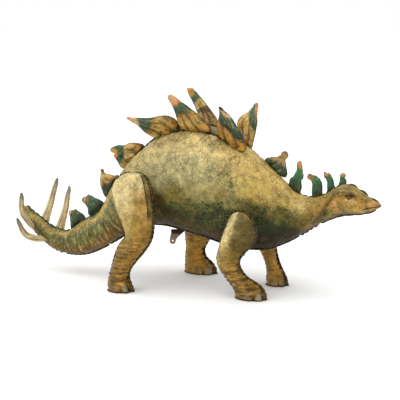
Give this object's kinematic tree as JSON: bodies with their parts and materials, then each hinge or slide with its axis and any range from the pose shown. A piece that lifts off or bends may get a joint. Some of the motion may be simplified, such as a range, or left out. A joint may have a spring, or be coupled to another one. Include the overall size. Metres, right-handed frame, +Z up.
{
  "type": "inflatable stegosaurus",
  "caption": "Free-standing inflatable stegosaurus figure of printed vinyl film, with air-filled trunk, legs, back plates and tail spikes, a valve and a tether tab.",
  "frame": {"origin": "on the floor under the middle of the overall box, between the four soles", "axes": "+X from the tail to the nose, +Y to the left side of the animal, +Z up"},
  "size_m": [1.2411, 0.398, 0.6326],
  "materials": {
    "flank_film": "gloss",
    "back_film": "gloss",
    "belly_film": "gloss",
    "leg_film": "gloss",
    "sole_film": "gloss",
    "seam_film": "gloss",
    "green_seam_film": "gloss",
    "plate_film": "gloss",
    "small_plate_film": "gloss",
    "spike_film": "gloss",
    "clear_brown_vinyl": "gloss"
  },
  "bodies": {
    "trunk": {"right_flank": "flank_film", "left_flank": "flank_film", "back_gusset": "back_film", "belly_gusset": "belly_film", "right_plate_seam": "seam_film", "left_plate_seam": "seam_film", "tail_ridge_seam": "green_seam_film", "neck_ridge_seam": "green_seam_film", "snout_seam": "seam_film", "right_belly_seam": "seam_film", "left_belly_seam": "seam_film", "tail_keel_seam": "seam_film", "throat_seam": "seam_film", "right_hip_weld": "leg_film", "left_hip_weld": "leg_film", "right_shoulder_weld": "leg_film", "left_shoulder_weld": "leg_film", "valve_flange": "clear_brown_vinyl", "tab_weld": "clear_brown_vinyl"},
    "right_hind_leg": {"right_hind_outer": "leg_film", "right_hind_inner": "leg_film", "right_hind_gusset": "leg_film", "right_hind_sole": "sole_film"},
    "left_hind_leg": {"left_hind_outer": "leg_film", "left_hind_inner": "leg_film", "left_hind_gusset": "leg_film", "left_hind_sole": "sole_film"},
    "right_front_leg": {"right_front_outer": "leg_film", "right_front_inner": "leg_film", "right_front_gusset": "leg_film", "right_front_sole": "sole_film"},
    "left_front_leg": {"left_front_outer": "leg_film", "left_front_inner": "leg_film", "left_front_gusset": "leg_film", "left_front_sole": "sole_film"},
    "tail_plate_1_body": {"tail_plate_1": "small_plate_film"},
    "tail_plate_2_body": {"tail_plate_2": "small_plate_film"},
    "tail_plate_3_body": {"tail_plate_3": "small_plate_film"},
    "hip_plate_body": {"hip_plate": "plate_film"},
    "back_plate_1_body": {"back_plate_1": "plate_film"},
    "back_plate_2_body": {"back_plate_2": "plate_film"},
    "back_plate_3_body": {"back_plate_3": "plate_film"},
    "back_plate_4_body": {"back_plate_4": "plate_film"},
    "back_plate_5_body": {"back_plate_5": "plate_film"},
    "shoulder_plate_body": {"shoulder_plate": "small_plate_film"},
    "neck_plate_1_body": {"neck_plate_1": "small_plate_film"},
    "neck_plate_2_body": {"neck_plate_2": "small_plate_film"},
    "neck_plate_3_body": {"neck_plate_3": "small_plate_film"},
    "neck_plate_4_body": {"neck_plate_4": "small_plate_film"},
    "spike_right_end_body": {"spike_right_end": "spike_film"},
    "spike_left_end_body": {"spike_left_end": "spike_film"},
    "spike_right_fore_body": {"spike_right_fore": "spike_film"},
    "spike_left_fore_body": {"spike_left_fore": "spike_film"},
    "tether_tab_body": {"tether_tab": "clear_brown_vinyl"},
    "valve_stem_body": {"valve_stem": "clear_brown_vinyl"},
    "valve_plug_body": {"valve_plug": "clear_brown_vinyl"}
  },
  "joints": [
    {"name": "right_hind_leg_swing", "type": "hinge", "parent": "trunk", "child": "right_hind_leg", "pos_m": [-0.104, -0.1212, 0.305], "axis": [0, 1, 0], "range_deg": [-5, 5], "stiffness_Nm_per_rad": 15},
    {"name": "left_hind_leg_swing", "type": "hinge", "parent": "trunk", "child": "left_hind_leg", "pos_m": [-0.104, 0.1212, 0.305], "axis": [0, 1, 0], "range_deg": [-5, 5], "stiffness_Nm_per_rad": 15},
    {"name": "right_front_leg_swing", "type": "hinge", "parent": "trunk", "child": "right_front_leg", "pos_m": [0.226, -0.1196, 0.254], "axis": [0, 1, 0], "range_deg": [-5, 5], "stiffness_Nm_per_rad": 15},
    {"name": "left_front_leg_swing", "type": "hinge", "parent": "trunk", "child": "left_front_leg", "pos_m": [0.226, 0.1196, 0.254], "axis": [0, 1, 0], "range_deg": [-5, 5], "stiffness_Nm_per_rad": 15},
    {"name": "tail_plate_1_tilt", "type": "hinge", "parent": "trunk", "child": "tail_plate_1_body", "pos_m": [-0.4105, 0, 0.1783], "axis": [0.8225, 0, 0.5687], "range_deg": [-15, 15], "stiffness_Nm_per_rad": 0.15},
    {"name": "tail_plate_2_tilt", "type": "hinge", "parent": "trunk", "child": "tail_plate_2_body", "pos_m": [-0.339, 0, 0.2293], "axis": [0.7528, 0, 0.6582], "range_deg": [-15, 15], "stiffness_Nm_per_rad": 0.15},
    {"name": "tail_plate_3_tilt", "type": "hinge", "parent": "trunk", "child": "tail_plate_3_body", "pos_m": [-0.278, 0, 0.3064], "axis": [0.5234, 0, 0.8521], "range_deg": [-15, 15], "stiffness_Nm_per_rad": 0.15},
    {"name": "hip_plate_tilt", "type": "hinge", "parent": "trunk", "child": "hip_plate_body", "pos_m": [-0.199, 0, 0.4103], "axis": [0.6993, 0, 0.7149], "range_deg": [-12, 12], "stiffness_Nm_per_rad": 1},
    {"name": "back_plate_1_tilt", "type": "hinge", "parent": "trunk", "child": "back_plate_1_body", "pos_m": [-0.061, -0.0405, 0.5048], "axis": [0.9496, -0.0917, 0.2998], "range_deg": [-12, 12], "stiffness_Nm_per_rad": 1},
    {"name": "back_plate_2_tilt", "type": "hinge", "parent": "trunk", "child": "back_plate_2_body", "pos_m": [0.0415, -0.0459, 0.5164], "axis": [0.9973, -0.0136, -0.0726], "range_deg": [-12, 12], "stiffness_Nm_per_rad": 1},
    {"name": "back_plate_3_tilt", "type": "hinge", "parent": "trunk", "child": "back_plate_3_body", "pos_m": [0.039, 0.0461, 0.5171], "axis": [0.9984, 0.017, -0.0548], "range_deg": [-12, 12], "stiffness_Nm_per_rad": 1},
    {"name": "back_plate_4_tilt", "type": "hinge", "parent": "trunk", "child": "back_plate_4_body", "pos_m": [0.153, -0.042, 0.4822], "axis": [0.8694, 0.0841, -0.487], "range_deg": [-12, 12], "stiffness_Nm_per_rad": 1},
    {"name": "back_plate_5_tilt", "type": "hinge", "parent": "trunk", "child": "back_plate_5_body", "pos_m": [0.159, 0.0415, 0.4794], "axis": [0.8599, -0.0887, -0.5027], "range_deg": [-12, 12], "stiffness_Nm_per_rad": 1},
    {"name": "shoulder_plate_tilt", "type": "hinge", "parent": "trunk", "child": "shoulder_plate_body", "pos_m": [0.271, 0.0196, 0.4017], "axis": [0.7652, -0.2597, -0.5891], "range_deg": [-15, 15], "stiffness_Nm_per_rad": 0.15},
    {"name": "neck_plate_1_tilt", "type": "hinge", "parent": "trunk", "child": "neck_plate_1_body", "pos_m": [0.348, 0, 0.3448], "axis": [0.8352, 0, -0.5499], "range_deg": [-15, 15], "stiffness_Nm_per_rad": 0.15},
    {"name": "neck_plate_2_tilt", "type": "hinge", "parent": "trunk", "child": "neck_plate_2_body", "pos_m": [0.421, 0, 0.3275], "axis": [0.966, 0, 0.2585], "range_deg": [-15, 15], "stiffness_Nm_per_rad": 0.15},
    {"name": "neck_plate_3_tilt", "type": "hinge", "parent": "trunk", "child": "neck_plate_3_body", "pos_m": [0.462, 0, 0.3458], "axis": [0.8301, 0, 0.5576], "range_deg": [-15, 15], "stiffness_Nm_per_rad": 0.15},
    {"name": "neck_plate_4_tilt", "type": "hinge", "parent": "trunk", "child": "neck_plate_4_body", "pos_m": [0.4975, 0, 0.3648], "axis": [0.9151, 0, 0.4031], "range_deg": [-15, 15], "stiffness_Nm_per_rad": 0.15},
    {"name": "spike_right_end_flap", "type": "hinge", "parent": "trunk", "child": "spike_right_end_body", "pos_m": [-0.566, -0.031, 0.142], "axis": [-0.7779, 0, 0.6283], "range_deg": [-8, 8], "stiffness_Nm_per_rad": 0.5},
    {"name": "spike_left_end_flap", "type": "hinge", "parent": "trunk", "child": "spike_left_end_body", "pos_m": [-0.566, 0.031, 0.142], "axis": [-0.7779, 0, 0.6283], "range_deg": [-8, 8], "stiffness_Nm_per_rad": 0.5},
    {"name": "spike_right_fore_flap", "type": "hinge", "parent": "trunk", "child": "spike_right_fore_body", "pos_m": [-0.512, -0.04, 0.112], "axis": [-0.9117, 0, 0.4108], "range_deg": [-8, 8], "stiffness_Nm_per_rad": 0.5},
    {"name": "spike_left_fore_flap", "type": "hinge", "parent": "trunk", "child": "spike_left_fore_body", "pos_m": [-0.512, 0.04, 0.112], "axis": [-0.9117, 0, 0.4108], "range_deg": [-8, 8], "stiffness_Nm_per_rad": 0.5},
    {"name": "tether_tab_swing", "type": "hinge", "parent": "trunk", "child": "tether_tab_body", "pos_m": [-0.042, 0, 0.176], "axis": [1, 0, 0], "range_deg": [-40, 40]},
    {"name": "valve_push_in", "type": "slide", "parent": "trunk", "child": "valve_stem_body", "axis": [0, 0, 1], "range_m": [0, 0.015]},
    {"name": "plug_pull_out", "type": "slide", "parent": "valve_stem_body", "child": "valve_plug_body", "axis": [0, 0, -1], "range_m": [0, 0.013]}
  ]
}
